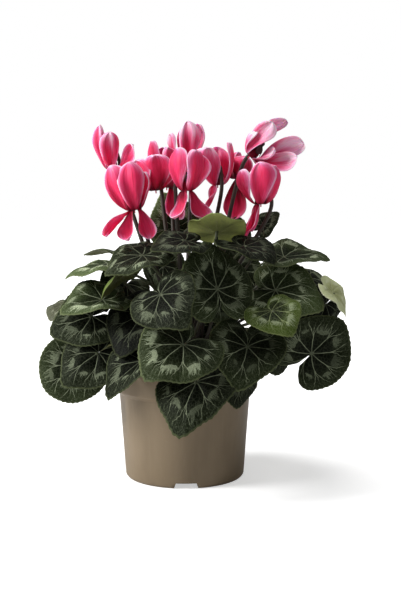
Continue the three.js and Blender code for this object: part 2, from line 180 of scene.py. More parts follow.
# seat is where the stalk meets the blade, tip is the blade's point, and bow moves the stalk's bend
leaves = [
    {"seat": [-17, -93, 162], "tip": [-5, -120, 152], "width": 56, "roll": 14, "dome": 0.3, "nod": 0.06,
     "bow": [-8, 28]},
    {"seat": [26, -68, 163], "tip": [18, -56, 200], "width": 62, "roll": 3, "dome": 0.15, "nod": 0.04,
     "bow": [18, -16]},
    {"seat": [72, -42, 159], "tip": [105, -58, 153], "width": 62, "roll": 31, "fold": 0.15, "dome": 0.1,
     "bow": [7, 0]},
    {"seat": [67, -80, 148], "tip": [79, -102, 140], "width": 44, "roll": 34, "fold": 0.14,
     "dome": 0.25, "bow": [0, 8], "young": True},
    {"seat": [80, -18, 183], "tip": [115, -12, 187], "width": 59, "roll": -4, "fold": 0.2, "dome": 0.05,
     "bow": [2, 0]},
    {"seat": [47, -53, 195], "tip": [71, -72, 188], "width": 48, "fold": 0.15, "dome": 0.05,
     "bow": [-1, 0]},
    {"seat": [26, -36, 204], "tip": [25, -62, 222], "width": 46, "roll": 18, "fold": 0.28, "dome": 0.1,
     "nod": -0.03, "bow": [0, -7], "young": True},
    {"seat": [1, -62, 200], "tip": [-21, -72, 200], "width": 43, "roll": 5, "fold": 0.14},
    {"seat": [-8, 42, 202], "tip": [-12, 38, 218], "width": 46, "roll": -144, "bow": [-9, 9]},
    {"seat": [-32, -56, 188], "tip": [-62, -70, 180], "width": 51, "roll": 2, "dome": 0.1, "bow": [2, 5]},
    {"seat": [-39, -25, 191], "tip": [-66, -36, 183], "width": 40, "roll": -2, "bow": [10, -6]},
    {"seat": [-62, -12, 177], "tip": [-94, -16, 175], "width": 54, "fold": 0.05, "dome": 0.18},
    {"seat": [-58, 36, 182], "tip": [-86, 46, 187], "width": 44},
    {"seat": [-46, -38, 174], "tip": [-64, -46, 164], "width": 45, "roll": 36, "fold": 0.05,
     "bow": [-20, -15], "young": True},
    {"seat": [-65, -30, 150], "tip": [-97, -42, 148], "width": 54, "roll": -14, "fold": 0.28,
     "dome": 0.1, "bow": [-10, 0]},
    {"seat": [-74, -26, 136], "tip": [-105, -34, 128], "width": 55, "roll": -44, "fold": 0.12,
     "dome": 0.15, "bow": [-5, 9]},
    {"seat": [-100, -6, 142], "tip": [-110, -20, 135], "width": 27, "roll": -40, "bow": [8, 0],
     "young": True},
    {"seat": [-88, -24, 95], "tip": [-112, -30, 76], "width": 57, "roll": -68, "fold": 0.1, "dome": 0.2,
     "point": 0.02},
    {"seat": [-68, -40, 109], "tip": [-92, -54, 94], "width": 57, "roll": -40, "fold": 0.05,
     "dome": 0.28, "bow": [-1, 1]},
    {"seat": [-32, -43, 140], "tip": [-58, -74, 110], "width": 62, "roll": -3, "fold": 0.15,
     "dome": 0.1, "bow": [2, -9]},
    {"seat": [-33, -66, 107], "tip": [-64, -80, 86], "width": 60, "roll": 29, "fold": 0.3, "dome": 0.16},
    {"seat": [0, -98, 125], "tip": [-24, -124, 112], "width": 64, "roll": 10, "fold": 0.1, "dome": 0.25,
     "bow": [-4, 0]},
    {"seat": [10, -84, 94], "tip": [-5, -113, 72], "width": 66, "roll": 38, "fold": 0.1, "dome": 0.3,
     "bow": [-1, -5]},
    {"seat": [49, -72, 119], "tip": [42, -102, 97], "width": 60, "roll": 27, "fold": 0.3, "dome": 0.1,
     "bow": [-3, 2]},
    {"seat": [101, -40, 108], "tip": [127, -44, 134], "width": 61, "roll": -48, "fold": 0.25,
     "dome": 0.15, "nod": 0.05, "point": 0.06},
    {"seat": [114, -16, 144], "tip": [94, -28, 130], "width": 38, "roll": -20, "dome": 0.2, "bow": [3, 9]},
    {"seat": [102, 6, 164], "tip": [126, 6, 152], "width": 48, "roll": 16, "fold": 0.05, "dome": 0.1,
     "bow": [8, 7]},
    {"seat": [117, -40, 157], "tip": [135, -40, 140], "width": 34, "roll": 7, "fold": 0.3, "dome": 0.3,
     "young": True},
    {"seat": [70, -40, 118], "tip": [80, -40, 90], "width": 46, "roll": 39, "fold": 0.15, "bow": [12, 5]},
    {"seat": [42, -62, 94], "tip": [45, -70, 72], "width": 38},
    {"seat": [65, 18, 206], "tip": [73, 16, 216], "width": 24, "roll": 90},
    {"seat": [-72, 38, 118], "tip": [-104, 56, 94], "width": 60},
    {"seat": [-48, 62, 106], "tip": [-70, 92, 86], "width": 58},
    {"seat": [2, 88, 118], "tip": [4, 118, 92], "width": 60},
    {"seat": [54, 62, 106], "tip": [80, 86, 84], "width": 58},
    {"seat": [88, 34, 114], "tip": [120, 48, 94], "width": 58},
    {"seat": [8, 64, 164], "tip": [10, 99, 150], "width": 58},
]

# small leaves deep inside, which the solids leave out
innerLeaves = [
    {"seat": [26, 6, 124], "tip": [24, 1, 104], "width": 34, "roll": 72, "bow": [-9, -5]},
    {"seat": [-48, 7, 158], "tip": [-59, -12, 148], "width": 44, "roll": -68, "bow": [2, 32]},
    {"seat": [-17, -3, 174], "tip": [-20, -8, 156], "width": 36, "roll": -29, "bow": [1, 4]},
    {"seat": [60, 30, 150], "tip": [65, 19, 133], "width": 44, "roll": 85, "bow": [-2, -1]},
    {"seat": [85, -4, 114], "tip": [90, -27, 101], "width": 38, "roll": 85, "bow": [26, -6]},
    {"seat": [47, 44, 164], "tip": [49, 38, 147], "width": 38, "roll": 96},
    {"seat": [31, -44, 156], "tip": [45, -35, 124], "width": 46, "roll": 46, "bow": [12, 14]},
    {"seat": [32, 40, 143], "tip": [47, 40, 111], "width": 44, "roll": 95, "bow": [13, -5]},
    {"seat": [9, 22, 143], "tip": [13, 13, 112], "width": 42, "roll": 83, "bow": [1, 1]},
    {"seat": [40, 23, 196], "tip": [46, 23, 174], "width": 36, "roll": 77, "bow": [3, -25]},
    {"seat": [22, 20, 202], "tip": [23, 23, 183], "width": 34, "roll": 64, "bow": [-27, 0]},
]

# how silvery the marbling is, how far out it lies, how far the margin curls and how light the
# blade is, where a leaf differs from the rest; that lightness, on the upper side and the underside,
# is partly the leaf's own tone and partly painted light and shade, set leaf by leaf
leafLooks = {
    1: {"silver": 0.7, "tone": 0.4, "point": 0.17}, 2: {"silver": 0.65, "band": 0.6, "tone": 1},
    3: {"silver": 1.3, "tone": 1.7}, 4: {"silver": 0.95, "tone": 0.58},
    5: {"silver": 1.3, "band": 0.72, "tone": 1.4}, 6: {"silver": 0.75, "tone": 0.25},
    7: {"wave": 0.09, "underToneAndPaintedLight": 2.5}, 8: {"silver": 0.7, "tone": 0.26}, 9: {"silver": 0.9, "tone": 1.8},
    10: {"silver": 1.1, "band": 0.74, "curl": 1.6, "tone": 0.6}, 11: {"silver": 0.7, "tone": 0.6},
    12: {"silver": 1.3, "band": 0.7, "tone": 2}, 13: {"silver": 1.2, "tone": 1.2},
    15: {"silver": 1.2, "band": 0.76, "curl": 1.6, "tone": 1.6},
    16: {"silver": 0.9, "curl": 1.4, "tone": 0.55}, 17: {"pale": True, "tone": 0.34},
    18: {"silver": 0.6, "tone": 0.9}, 19: {"silver": 0.7, "tone": 0.5},
    20: {"silver": 0.6, "tone": 0.12}, 21: {"silver": 0.9, "tone": 0.4},
    22: {"silver": 1.1, "band": 0.7, "tone": 1}, 23: {"silver": 0.6, "tone": 0.5, "point": 0.14},
    24: {"silver": 0.55, "tone": 0.85}, 25: {"silver": 0.5, "tone": 0.7}, 26: {"tone": 0.4},
    28: {"pale": True, "tone": 1.6}, 29: {"silver": 0.3, "tone": 0.5}, 30: {"silver": 0.3, "tone": 0.4},
    31: {"tone": 0.7},
}
innerLooks = {"dome": 0.15, "silver": 0.4}
leafUsual = {
    "roll": 0, "dome": 0.25, "fold": 0.1, "wave": 0.04, "nod": 0.1, "point": 0.11, "bow": [0, 0],
    "young": False, "pale": False, "silver": 0.75, "band": 0.64, "curl": 1, "tone": 0.9, "underToneAndPaintedLight": 1,
}


def readyLeaf(leaf, looks):
    return {**leafUsual, **leaf, **looks, "seat": Vector(leaf["seat"]), "tip": Vector(leaf["tip"])}


foliageCentre = Vector((0, 0, 70))
blade = {
    "spokes": 160, "rings": 13, "crowding": 1.25, "notchHalfAngle": 5, "thickness": 0.5, "stalkSeat": 2.4,
    "frontSwell": 0.03, "pointSpread": 18, "clefts": ((135, 0.12), (152, 0.16)), "waves": 5,
    "teeth": 46, "toothDepth": 0.009, "toothChange": 0.6, "edgeDrift": 0.02, "edgeScale": 1.6,
    "veinStep": 45, "veinBend": 0.35, "puff": 0.011, "puffReach": 0.05, "ripple": 0.035, "rippleScale": 3.2,
    "curl": 0.035, "curlFrom": 0.72, "seedStep": 7.31,
}


def bladeAxes(leaf):
    along = (leaf["tip"] - leaf["seat"]).normalized()
    outward = (leaf["seat"] - foliageCentre).normalized()
    face = (outward - along * outward.dot(along)).normalized()
    face.rotate(Quaternion(along, math.radians(leaf["roll"])))
    return {"along": along, "face": face, "side": face.cross(along)}


def margin(leaf, angle):
    # how far the edge lies from the stalk's seat, in leaf widths
    away = abs(angle)
    front = blade["frontSwell"] * max(0, math.cos(math.radians(angle))) ** 2
    point = leaf["point"] * math.exp(-((away / blade["pointSpread"]) ** 2))
    cleft = sum(depth * smooth(away, start, 180) for start, depth in blade["clefts"])
    return 0.5 + front + point - cleft


def veinGap(reach, turn):
    # how far a point is from the nearest main vein, in leaf widths
    cell = math.degrees(turn) * (1 + blade["veinBend"] * reach) / blade["veinStep"]
    return abs(cell - round(cell)) * math.radians(blade["veinStep"]) * reach


def bladeHeight(leaf, reach, angle):
    turn = math.radians(angle)
    forward = max(0, math.cos(turn))
    return (-leaf["dome"] * reach ** 2 + leaf["fold"] * abs(math.sin(turn)) * reach
            + leaf["wave"] * reach * math.cos(blade["waves"] * turn)
            - leaf["nod"] * forward ** 2 * reach ** 3 * 4)


def bladePoint(leaf, axes, reach, angle, extra=0):
    turn = math.radians(angle)
    width = leaf["width"]
    return (leaf["seat"] + axes["along"] * (width * reach * math.cos(turn))
            + axes["side"] * (width * reach * math.sin(turn))
            + axes["face"] * (width * (bladeHeight(leaf, reach, angle) + extra)))


def makeBlade(leaf, axes, number):
    sweep = 360 - 2 * blade["notchHalfAngle"]
    seed = number * blade["seedStep"]

    def place(u, v):
        angle = sweep * (u - 0.5)
        turn = math.radians(angle)
        share = 1 - (1 - v) ** blade["crowding"]
        edge = Vector((math.cos(turn) * blade["edgeScale"], math.sin(turn) * blade["edgeScale"], seed))
        tooth = blade["toothDepth"] * math.cos(turn * blade["teeth"])
        tooth *= 1 + blade["toothChange"] * noise.noise(edge * 3)
        drift = blade["edgeDrift"] * share * noise.noise(edge)
        reach = share * margin(leaf, angle) * (1 + tooth * share ** 8 + drift)
        flat = Vector((reach * math.cos(turn), reach * math.sin(turn), seed))
        puff = blade["puff"] * (smooth(veinGap(reach, turn), 0, blade["puffReach"]) - 1)
        puff *= (1 - 0.5 * share) * smooth(share, 0, 0.15)
        ripple = blade["ripple"] * noise.noise(flat * blade["rippleScale"]) * share
        curl = -blade["curl"] * leaf["curl"] * smooth(share, blade["curlFrom"], 1.15)
        curl *= 1 + noise.noise(edge * 1.5)
        spot = bladePoint(leaf, axes, reach, angle, puff + ripple + curl)
        # the tone mark carries the leaf's own tone together with painted light and shade
        return spot, {"across": flat.y, "along": flat.x, "share": share, "seed": seed,
                      "pale": leaf["silver"], "band": leaf["band"], "tone": leaf["tone"]}

    bm = layGrid(blade["spokes"], blade["rings"], place)
    middle = min(bm.faces, key=lambda f: (f.calc_center_median() - leaf["seat"]).length)
    if middle.normal.dot(axes["face"]) < 0:
        bmesh.ops.reverse_faces(bm, faces=bm.faces)
    # the underside takes its own tone, partly painted light and shade
    mark(bm, thicken(bm, blade["thickness"]), tone=leaf["underToneAndPaintedLight"])
    return bm


petiole = {
    "footRadius": 1.5, "neckRadius": 1.05, "sides": 10, "steps": 26, "rise": 0.42, "reach": 0.3,
    "rimRoom": 9, "sunk": 0.35, "arriveFace": 0.65, "arriveAlong": 0.6, "flare": 0.35, "flareFrom": 0.96,
    "uneven": 0.05,
}


def makePetiole(leaf, axes, number):
    # the stalk rises from the tuber, bows clear of the pot's rim and meets the blade from below
    arrive = (axes["face"] * petiole["arriveFace"] + axes["along"] * petiole["arriveAlong"]).normalized()
    end = bladePoint(leaf, axes, blade["stalkSeat"] / leaf["width"], 0) - axes["face"] * petiole["sunk"]
    span = (end - leaf["foot"]).length
    outward = Vector((leaf["seat"].x, leaf["seat"].y, 0)).normalized()
    across = up.cross(outward)
    bow = outward * leaf["bow"][0] + across * leaf["bow"][1]
    rise = leaf["foot"] + up * (span * petiole["rise"])
    under = end - arrive * (span * petiole["reach"]) + bow
    under.z = max(under.z, pot["height"] + petiole["rimRoom"])
    points = (leaf["foot"], rise, under, end)

    def radius(t):
        neck = petiole["footRadius"] + (petiole["neckRadius"] - petiole["footRadius"]) * t
        neck *= 1 + petiole["flare"] * smooth(t, petiole["flareFrom"], 1)
        return neck * (1 + petiole["uneven"] * math.sin(9 * t + number))

    return runTube(lambda t: cubic(points, t), radius, across, petiole["sides"], petiole["steps"],
                   {"seed": number * blade["seedStep"]})


# Blooms

# each petal's row is its tip from the tube's mouth, its width and, where it turns, its roll
blooms = [
    {"mouth": [-59, 8, 252], "lean": [-0.1, 0, 1],
     "petals": [[-12, -7, 35, 15], [-2, -14, 29, 23], [19, -11, 19, 19, 55], [-8, 14, 28, 22]]},
    {"mouth": [-39, -32, 221], "lean": [-0.15, 0, 1],
     "petals": [[-21, -9, 33, 26], [-4, -13, 37, 28], [10, -2, 30, 22], [-12, 12, 31, 20],
                [-22, -9, -20, 15], [-5, -14, -23, 14], [12, -6, -22, 13]]},
    {"mouth": [-23, -4, 235], "lean": [-0.1, 0, 1],
     "petals": [[-15, -7, 24, 24], [0, -13, 28, 26], [12, -3, 20, 20], [-9, 9, 22, 18]]},
    {"mouth": [-15, 27, 236], "lean": [0, 0, 1],
     "petals": [[-12, -6, 38, 22], [4, -11, 33, 22], [15, 3, 20, 18], [-6, 13, 32, 20], [8, -8, -26, 14]]},
    {"mouth": [0, 38, 256], "lean": [0.1, 0, 1], "side": 45,
     "petals": [[-13, -4, 24, 18], [4, -12, 34, 24], [17, -4, 31, 18], [0, 14, 30, 22]]},
    {"mouth": [2, -30, 236], "lean": [0, 0, 1],
     "petals": [[-10, -8, 33, 22], [10, -12, 31, 27], [12, 9, 28, 20], [-7, 12, 30, 20],
                [-7, -9, -21, 15], [12, -10, -22, 16]]},
    {"mouth": [27, 4, 239], "lean": [0, 0, 1],
     "petals": [[-7, -11, 30, 27], [12, -4, 34, 18], [4, 12, 30, 22], [-12, 6, 28, 18], [-7, -8, -20, 15]]},
    {"mouth": [61, -20, 225], "lean": [0, 0, 1],
     "petals": [[-3, -13, 33, 26], [-18, -4, 26, 22], [13, -8, 30, 18], [4, 13, 28, 20], [-6, -8, -21, 12],
                [-9, 1, -27, 11]]},
    {"mouth": [43, 44, 242], "lean": [0.2, 0, 1],
     "petals": [[-10, -9, 17, 22], [8, -12, 18, 22], [-4, -14, -33, 22], [0, 14, 22, 20]]},
    {"mouth": [53, 14, 262], "lean": [0.75, 0, 0.66], "side": 90,
     "petals": [[3, -4, 23, 12], [15, -9, 30, 17], [27, 6, 33, 15], [43, -2, 12, 17, 60],
                [39, -10, -1, 14, 50], [21, -13, 3, 10, 30], [17, -10, -13, 9]]},
]

# how pale the petals are, partly their own colour and partly painted light and shade that lightens
# or darkens a whole bloom, and how wide next to the solid's, where a bloom differs from the rest
bloomLooks = {
    1: {"pale": 0.2, "widen": 0.85}, 2: {"widen": 0.88}, 3: {"pale": -0.05}, 4: {"widen": 0.92},
    5: {"pale": 0.36, "widen": 0.86}, 6: {"pale": 0.05}, 7: {"pale": 0.24, "widen": 0.92},
    8: {"pale": 0.06, "widen": 0.92}, 9: {"pale": -0.35}, 10: {"pale": 0.5, "widen": 1.3},
}


def readyBloom(bloom, looks):
    return {"pale": 0, "widen": 1, **bloom, **looks,
            "mouth": Vector(bloom["mouth"]), "lean": Vector(bloom["lean"]).normalized()}


petal = {
    "rows": 34, "columns": 26, "crowding": 1.45, "thickness": 0.4, "rootRadius": 3.4, "rootRise": 0.6,
    "widen": 0.92, "hangWiden": 1.5, "hangWidest": 22, "claw": 0.13, "shoulder": 0.62, "tips": (0.36, 0.85),
    "swell": 0.13, "bulge": 0.07, "dip": 0.02, "bend": 0.3, "skew": 0.3, "spiral": 18, "twist": 38,
    "cup": 0.09, "cups": (0.4, 1.4), "flare": 0.13, "flares": (0.2, 1.6), "edgeRoll": 0.16,
    "fold": 0.055, "folds": (4.5, 2.4), "ruffle": 0.07, "ruffles": (1.4, 9), "pleat": 0.006, "pleats": 26,
    "rimWidth": 10,
}


def petalOutline(share, point):
    spread = petal["claw"] + (1 - petal["claw"]) * smooth(share, -0.05, 0.86)
    end = max(0, (share - petal["shoulder"]) / (1 - petal["shoulder"]))
    return spread * max(0, 1 - end ** 3) ** point


def makePetal(bloom, shape, seed):
    tip, width, roll = Vector(shape[:3]), shape[3], math.radians(shape[4] if len(shape) > 4 else 0)
    lean = bloom["lean"]
    lift = tip.dot(lean)
    if lift < 0:
        width = min(width * petal["hangWiden"], petal["hangWidest"])
    width *= petal["widen"] * bloom["widen"]
    outward = (tip - lean * lift).normalized()
    root = outward * petal["rootRadius"] + lean * petal["rootRise"]
    span = (tip - root).length
    dip = petal["dip"] if lift > 0 else 0
    points = (root, root + outward * (span * petal["swell"]) - lean * (span * dip),
              root.lerp(tip, 0.6) + outward * (span * petal["bulge"]), tip)
    side = lean.cross(outward)
    chance = random.Random(seed)
    twist = math.radians(petal["spiral"] + chance.uniform(-1, 1) * petal["twist"])
    phase = chance.uniform(0, 6.28)
    bend = chance.uniform(-1, 1) * petal["bend"] * width
    skew = chance.uniform(-petal["skew"], petal["skew"])
    cup = petal["cup"] * chance.uniform(*petal["cups"])
    point = chance.uniform(*petal["tips"])
    curl = petal["flare"] * chance.uniform(*petal["flares"])

    def place(u, v):
        share = 1 - (1 - v) ** petal["crowding"]
        along = (cubic(points, min(1, share + 0.01)) - cubic(points, max(0, share - 0.01))).normalized()
        across = 1 - 2 * u
        turned = side.copy()
        turned.rotate(Quaternion(along, twist * smooth(share, 0, 0.8) + roll * smooth(share, 0, 0.45)))
        normal = turned.cross(along).normalized()
        edge = abs(across)
        outline = petalOutline(share, point)
        half = 0.5 * width * outline * (1 + skew * across * (0.4 + share))
        # a shallow cup with rolled edges, a tip that curls back, long folds, a wavy rim and fine pleats
        rise = cup * width * outline * (1 - across * across) * (1 - 0.5 * smooth(share, 0.6, 1))
        rise -= petal["edgeRoll"] * width * smooth(edge, 0.55, 1.1) * smooth(share, 0.35, 1)
        rise -= curl * span * smooth(share, 0.55, 1.1) ** 2
        fold = math.sin(petal["folds"][0] * across + petal["folds"][1] * share + phase)
        ruffle = math.sin(petal["ruffles"][1] * share + phase + petal["ruffles"][0] * across)
        pleat = math.sin(petal["pleats"] * across + phase)
        rise += petal["fold"] * width * fold * smooth(share, 0, 0.4)
        rise += petal["ruffle"] * width * edge ** 2 * ruffle * share
        rise += petal["pleat"] * width * pleat * smooth(share, 0, 0.3)
        sway = across * half + bend * (share * share - 0.6 * share)
        rim = min(half * (1 - edge), (1 - share) * span) / petal["rimWidth"]
        return (cubic(points, share) + bloom["mouth"] + turned * sway + normal * rise,
                {"across": across, "along": share, "share": rim, "seed": seed, "pale": bloom["pale"]})

    bm = layGrid(petal["columns"], petal["rows"], place)
    thicken(bm, petal["thickness"])
    return bm


def standUp(bm, bloom):
    turn = up.rotation_difference(bloom["lean"]).to_matrix().to_4x4()
    bmesh.ops.transform(bm, matrix=Matrix.Translation(bloom["mouth"]) @ turn, verts=bm.verts)
    return bm


tube = {"mouthRadius": 4.8, "topRadius": 3.4, "height": 9, "clearance": 0.3, "spins": 32, "corner": 0.5}


def makeTube(bloom, seed):
    r, h = tube["mouthRadius"], tube["height"]
    bm = spinProfile([(0, h * 0.75), (r * 0.55, h * 0.6), (r * 0.8, 0.9), (r, 0), (r * 1.06, 0.8), (r, 3),
                      (r * 0.9, 6), (tube["topRadius"], h), (0, h)], tube["spins"], tube["corner"])
    mark(bm, bm.verts, along=0.1, share=0.4, seed=seed)
    return standUp(bm, bloom)


style = {"rootRadius": 0.5, "tipRadius": 0.7, "length": 5, "middle": 0.3, "sides": 10}


def makeStyle(bloom, seed):
    # the thin end that hangs out of the tube's mouth
    bm = newMesh()
    bmesh.ops.create_cone(bm, cap_ends=True, segments=style["sides"], radius1=style["rootRadius"],
                          radius2=style["tipRadius"], depth=style["length"],
                          matrix=Matrix.Translation((0, 0, style["middle"])))
    mark(bm, bm.verts, along=0.5, share=0.6, seed=seed)
    return standUp(bm, bloom)


def openSide(bloom):
    # the middle of the widest gap between petals, where the stalk comes up
    turns = sorted(math.atan2(p[1], p[0]) for p in bloom["petals"])
    gaps = [b - a for a, b in zip(turns, turns[1:] + [turns[0] + 2 * math.pi])]
    widest = gaps.index(max(gaps))
    return turns[widest] + gaps[widest] / 2


stalk = {
    "footRadius": 1.9, "neckRadius": 1.35, "sides": 12, "steps": 60, "hookSide": 8.6, "hookRise": 15.5,
    "straight": 30, "passDrop": 4, "passShare": 0.55, "passLift": 12, "hookStart": 7, "seedStep": 3.7,
}


def makeStalk(bloom, number):
    # straight up from the crown, past the petals on their open side, and over into the tube's top
    turn = openSide(bloom) if "side" not in bloom else math.radians(bloom["side"])
    lean, foot, mouth = bloom["lean"], bloom["foot"], bloom["mouth"]
    beside = Vector((math.cos(turn), math.sin(turn), 0))
    beside = (beside - lean * beside.dot(lean)).normalized()
    side, rise, last = stalk["hookSide"], stalk["hookRise"], tube["height"] + tube["clearance"]
    passing = mouth + beside * side - lean * stalk["passDrop"]
    points = [foot, foot + up * stalk["straight"],
              foot.lerp(passing, stalk["passShare"]) + up * stalk["passLift"], passing,
              mouth + beside * side + lean * stalk["hookStart"],
              mouth + beside * (side * 0.62) + lean * (rise - 0.4),
              mouth + beside * (side * 0.12) + lean * (rise - 1.2), mouth + lean * (last + 1.2)]
    wide, narrow = stalk["footRadius"], stalk["neckRadius"]
    return runTube(lambda t: flowing(points, t), lambda t: wide + (narrow - wide) * smooth(t, 0, 0.8),
                   lean.cross(beside), stalk["sides"], stalk["steps"], {"seed": number * stalk["seedStep"]})


calyx = {
    "columns": 60, "rows": 10, "thickness": 0.4, "lobes": 5, "rise": 4.2, "depth": 4.6, "lobeDepth": 3.2,
    "topRadius": 0.8, "belly": 3.1, "flare": 1.3,
}


def makeCalyx(bloom, number):
    # a small cup with five pointed lobes that clasp the tube
    top = tube["height"] + tube["clearance"] + calyx["rise"]

    def place(u, v):
        turn = 2 * math.pi * u
        lobe = abs(math.cos(calyx["lobes"] / 2 * turn)) ** 0.7
        depth = top - v * (calyx["depth"] + calyx["lobeDepth"] * lobe)
        r = calyx["topRadius"] + calyx["belly"] * smooth(v, 0, 0.6) + calyx["flare"] * smooth(v, 0.5, 1)
        return Vector((r * math.cos(turn), r * math.sin(turn), depth)), {
            "along": 1, "share": v, "seed": number * stalk["seedStep"]}

    bm = layGrid(calyx["columns"], calyx["rows"], place)
    thicken(bm, calyx["thickness"])
    return standUp(bm, bloom)


# Pot, compost and tuber

pot = {
    "rimRadius": 60, "height": 91.5, "rimBottom": 74.5, "rimBulge": 0.15, "chamferHeight": 4.5,
    "bodyTopRadius": 53.7, "baseRadius": 48.8, "wall": 1.4, "wallDrop": 0.6, "floorRise": 4.5,
    "bossRadius": 12, "footRing": (3.4, 3, 1.6), "footCorner": 2, "bodyRings": (0.06, 0.09, 0.12, 0.5),
    "notchHeight": 4.5, "notchHalfAngle": 12, "notchCount": 3, "notchTurn": -88, "spins": 180, "corner": 0.6,
}


def makePot():
    rim, base, top, high = pot["rimRadius"], pot["baseRadius"], pot["bodyTopRadius"], pot["height"]
    bodyTop, rimLow, foot = pot["rimBottom"] - pot["chamferHeight"], pot["rimBottom"], pot["footCorner"]
    floor, wall, drop, boss = pot["floorRise"], pot["wall"], pot["wallDrop"], pot["bossRadius"]
    innerFoot, footStart, footEnd = [base - inset for inset in pot["footRing"]]
    body = [(base + (top - base) * part, foot + (bodyTop - foot) * part) for part in pot["bodyRings"]]
    profile = [
        (0, 0), (boss, 0), (boss + 0.6, floor), (innerFoot, floor), (footStart, 0), (footEnd, 0),
        (base, foot), *body, (top, bodyTop), (rim, rimLow), (rim + pot["rimBulge"], (rimLow + high) / 2),
        (rim, high), (rim - wall, high), (rim - wall, rimLow + drop), (top - wall, bodyTop + drop),
        (base - wall, floor + wall), (0, floor + wall),
    ]
    bm = spinProfile(profile, pot["spins"], pot["corner"])
    # the foot is pushed up to the notches' height where they are
    gap = 360 / pot["notchCount"]
    for vert in bm.verts:
        if vert.co.z < pot["notchHeight"] and vert.co.xy.length > base - 8:
            heading = math.degrees(math.atan2(vert.co.y, vert.co.x)) - pot["notchTurn"]
            if abs((heading + gap / 2) % gap - gap / 2) < pot["notchHalfAngle"] - 0.1:
                vert.co.z = pot["notchHeight"]
    return bm


def bumpy(profile, look, amount):
    # a closed lathe whose surface is moved along its normals by noise
    lengths = [0]
    for a, b in zip(profile, profile[1:]):
        lengths.append(lengths[-1] + math.dist(a, b))

    def place(u, v):
        reached = v * lengths[-1]
        i = min(len(profile) - 2, max(k for k, x in enumerate(lengths) if x <= reached))
        part = (reached - lengths[i]) / (lengths[i + 1] - lengths[i])
        r = profile[i][0] + (profile[i + 1][0] - profile[i][0]) * part
        z = profile[i][1] + (profile[i + 1][1] - profile[i][1]) * part
        return Vector((r * math.cos(2 * math.pi * u), r * math.sin(2 * math.pi * u), z)), {"along": v}

    bm = layGrid(look["spins"], look["rows"], place)
    bmesh.ops.recalc_face_normals(bm, faces=bm.faces)
    bm.normal_update()
    moves = [(v, v.normal * (amount(v.co) * noise.noise(v.co * look["bumpScale"]))) for v in bm.verts]
    for vert, move in moves:
        vert.co += move
    return bm


tuber = {
    "radius": 28.5, "bottom": 60, "crownRadius": 25, "crownHeight": 86, "dish": 2.8, "clearance": 0.3,
    "spins": 96, "rows": 70, "bumps": 0.9, "bumpScale": 0.35,
}


def makeTuber():
    r, low, crown, high = tuber["radius"], tuber["bottom"], tuber["crownRadius"], tuber["crownHeight"]
    hollow = high - tuber["dish"]
    profile = [(0, low), (13, low + 1), (22, low + 5.5), (r, low + 14), (r - 1, high - 6),
               (crown + 1.5, high - 0.6), (crown, high), (crown - 0.4, hollow), (0, hollow)]
    return bumpy(profile, tuber, lambda p: -tuber["bumps"] * (0.5 if p.z > high - 4 else 1))


soil = {
    "top": 80, "edgeTop": 78.4, "spins": 160, "rows": 150, "bumps": 1.6, "bumpScale": 0.4,
    "clods": 420, "clodSize": (0.7, 2.4), "perliteShare": 0.05, "seedStep": 1.7,
}


def makeSoil():
    # up inside the pot's wall, in over the top and down round the tuber, and bumpy only where it is open
    room = pot["wall"] + tuber["clearance"]
    edge, body, base = [pot[part] - room for part in ("rimRadius", "bodyTopRadius", "baseRadius")]
    floor, hollow, top = pot["floorRise"] + room, tuber["radius"] + 0.4, soil["top"]
    profile = [(0, floor), (base, floor), (body, 70.9), (edge, 75.4), (edge, soil["edgeTop"]),
               (49, top - 0.4), (37, top + 0.4), (hollow, top), (hollow, 73), (22.6, 65), (13, 60.5),
               (0, 59.6)]

    def amount(p):
        return soil["bumps"] if p.z > soil["edgeTop"] - 1.4 and hollow + 1 < p.xy.length < edge - 1 else 0

    return bumpy(profile, soil, amount)


def makeClods():
    # crumbs of peat, with a few pale grains, strewn round the tuber
    whole = newMesh()
    chance = random.Random(5)
    low, high = soil["clodSize"]
    for i in range(soil["clods"]):
        turn = chance.uniform(0, 2 * math.pi)
        far = chance.uniform(tuber["radius"] + 3, pot["rimRadius"] - 4.5)
        size = low + (high - low) * chance.random() ** 2
        pale = chance.random() < soil["perliteShare"]
        place = Matrix.LocRotScale(
            Vector((far * math.cos(turn), far * math.sin(turn), soil["top"] + 0.2 * size)),
            Quaternion((chance.random(), chance.random(), chance.random(), chance.random())).normalized(),
            Vector((size, size * chance.uniform(0.6, 1), size * chance.uniform(0.5, 0.9))) * 0.8)
        made = bmesh.ops.create_icosphere(whole, subdivisions=1, radius=1, matrix=place)["verts"]
        mark(whole, made, share=1 if pale else chance.uniform(0, 0.4), seed=i * soil["seedStep"])
    return whole


# Feet on the tuber's crown

# the radius of each ring of feet and how many stand on it, inner ring first
stalkRings = [(3.6, 3), (8.4, 7)]
leafRings = [(13, 11), (17.2, 13), (21.4, 13)]
innerReach = 22.4


def setFeet(stems, rings, target):
    # feet stand on rings on the crown, in the order of the directions that their stems lead to
    first = 0
    for radius, count in rings:
        group = sorted(stems[first:first + count], key=lambda s: math.atan2(s[target].y, s[target].x))
        step = 2 * math.pi / len(group)
        drift = [math.atan2(s[target].y, s[target].x) - step * i for i, s in enumerate(group)]
        start = math.atan2(sum(map(math.sin, drift)), sum(map(math.cos, drift)))
        for i, s in enumerate(group):
            lean = math.atan2(math.sin(drift[i] - start), math.cos(drift[i] - start))
            turn = start + step * i + 0.5 * lean
            s["foot"] = Vector((radius * math.cos(turn), radius * math.sin(turn),
                                tuber["crownHeight"] - tuber["dish"] + tuber["clearance"]))
        first += count


